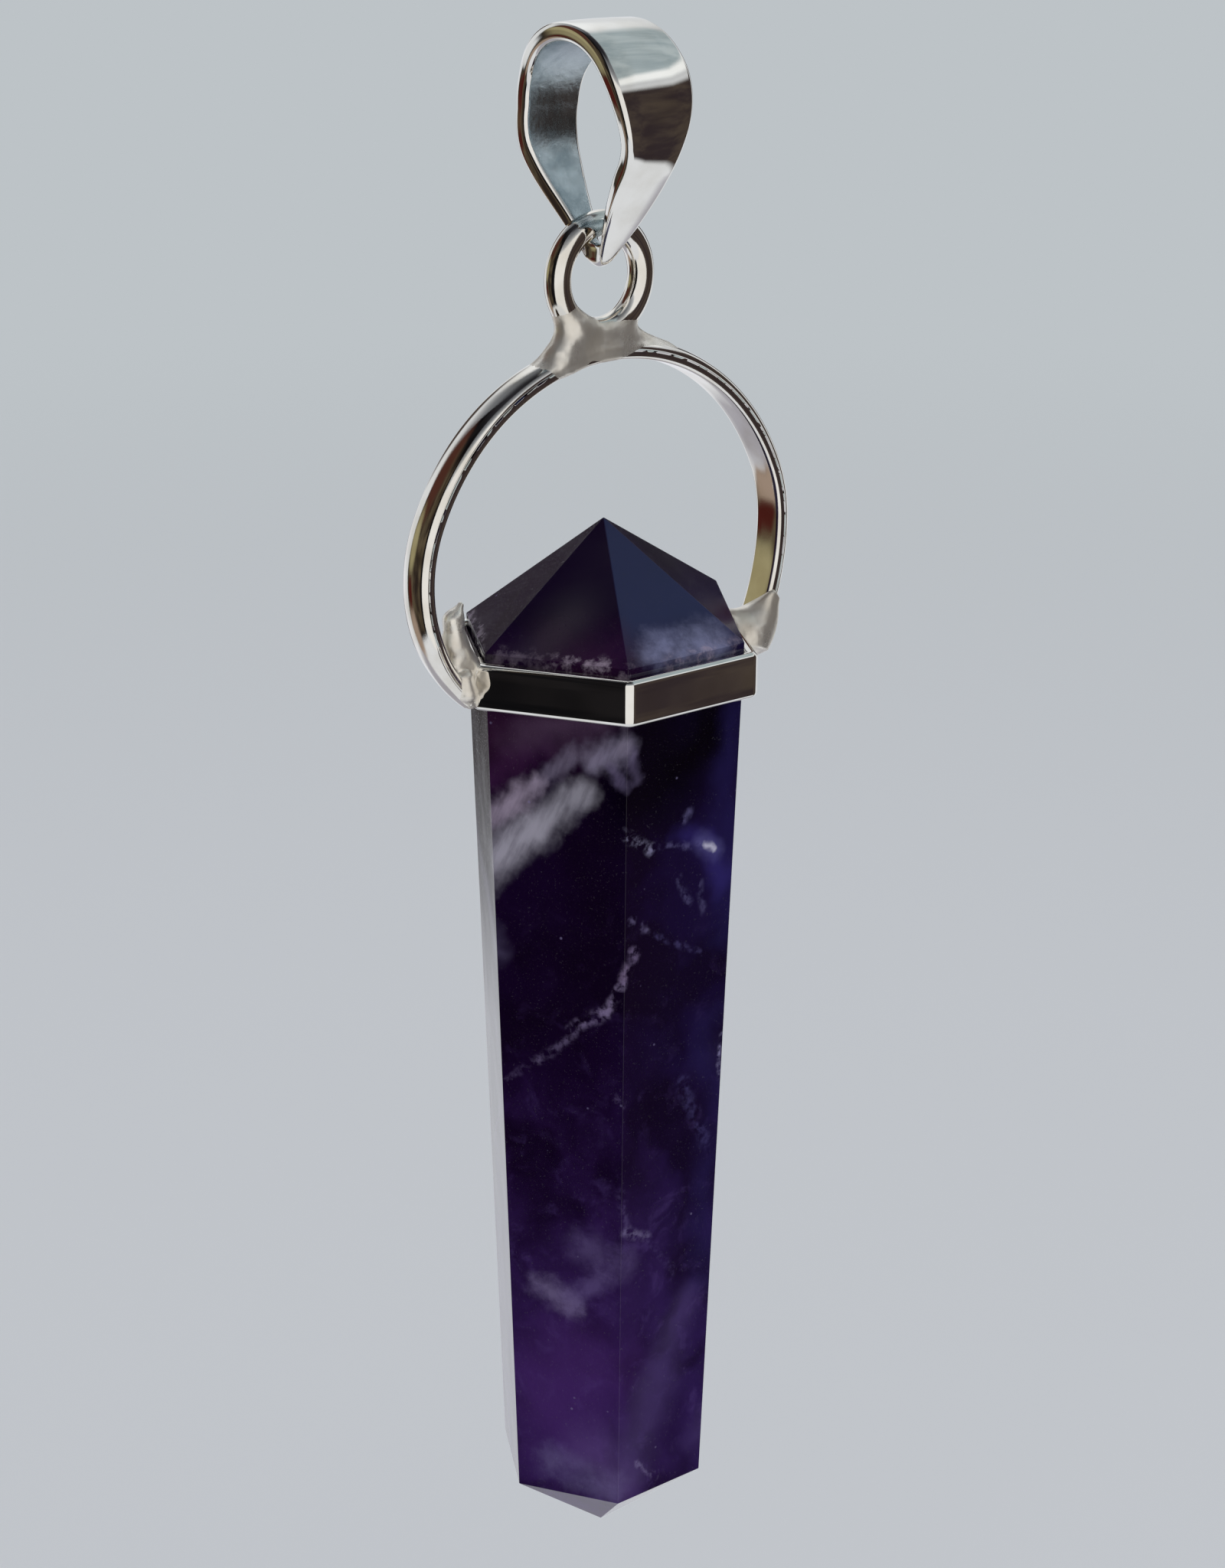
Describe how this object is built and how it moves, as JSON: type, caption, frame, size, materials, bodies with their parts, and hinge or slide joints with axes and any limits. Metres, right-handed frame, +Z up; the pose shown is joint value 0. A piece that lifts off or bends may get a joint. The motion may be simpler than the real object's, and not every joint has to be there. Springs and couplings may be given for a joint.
{
  "type": "point pendant",
  "caption": "Hexagonal amethyst point in a soldered silver collar and hoop, hanging from a tapered silver bail that takes a chain.",
  "frame": {"origin": "inside top of the bail, where the chain carries the pendant", "axes": "+Z up along the hanging pendant, X across the hoop and along the chain, front of the pendant towards -Y"},
  "size_m": [0.0164, 0.0096, 0.0557],
  "materials": {
    "silver": "polished",
    "amethyst": "polished"
  },
  "bodies": {
    "bail": {"bail": "silver"},
    "drop": {"setting": "silver", "stone": "amethyst"}
  },
  "joints": [
    {"name": "swing", "type": "hinge", "parent": "bail", "child": "drop", "pos_m": [0, 0, -0.00593], "axis": [1, 0, 0], "range_deg": [-105, 105]}
  ]
}
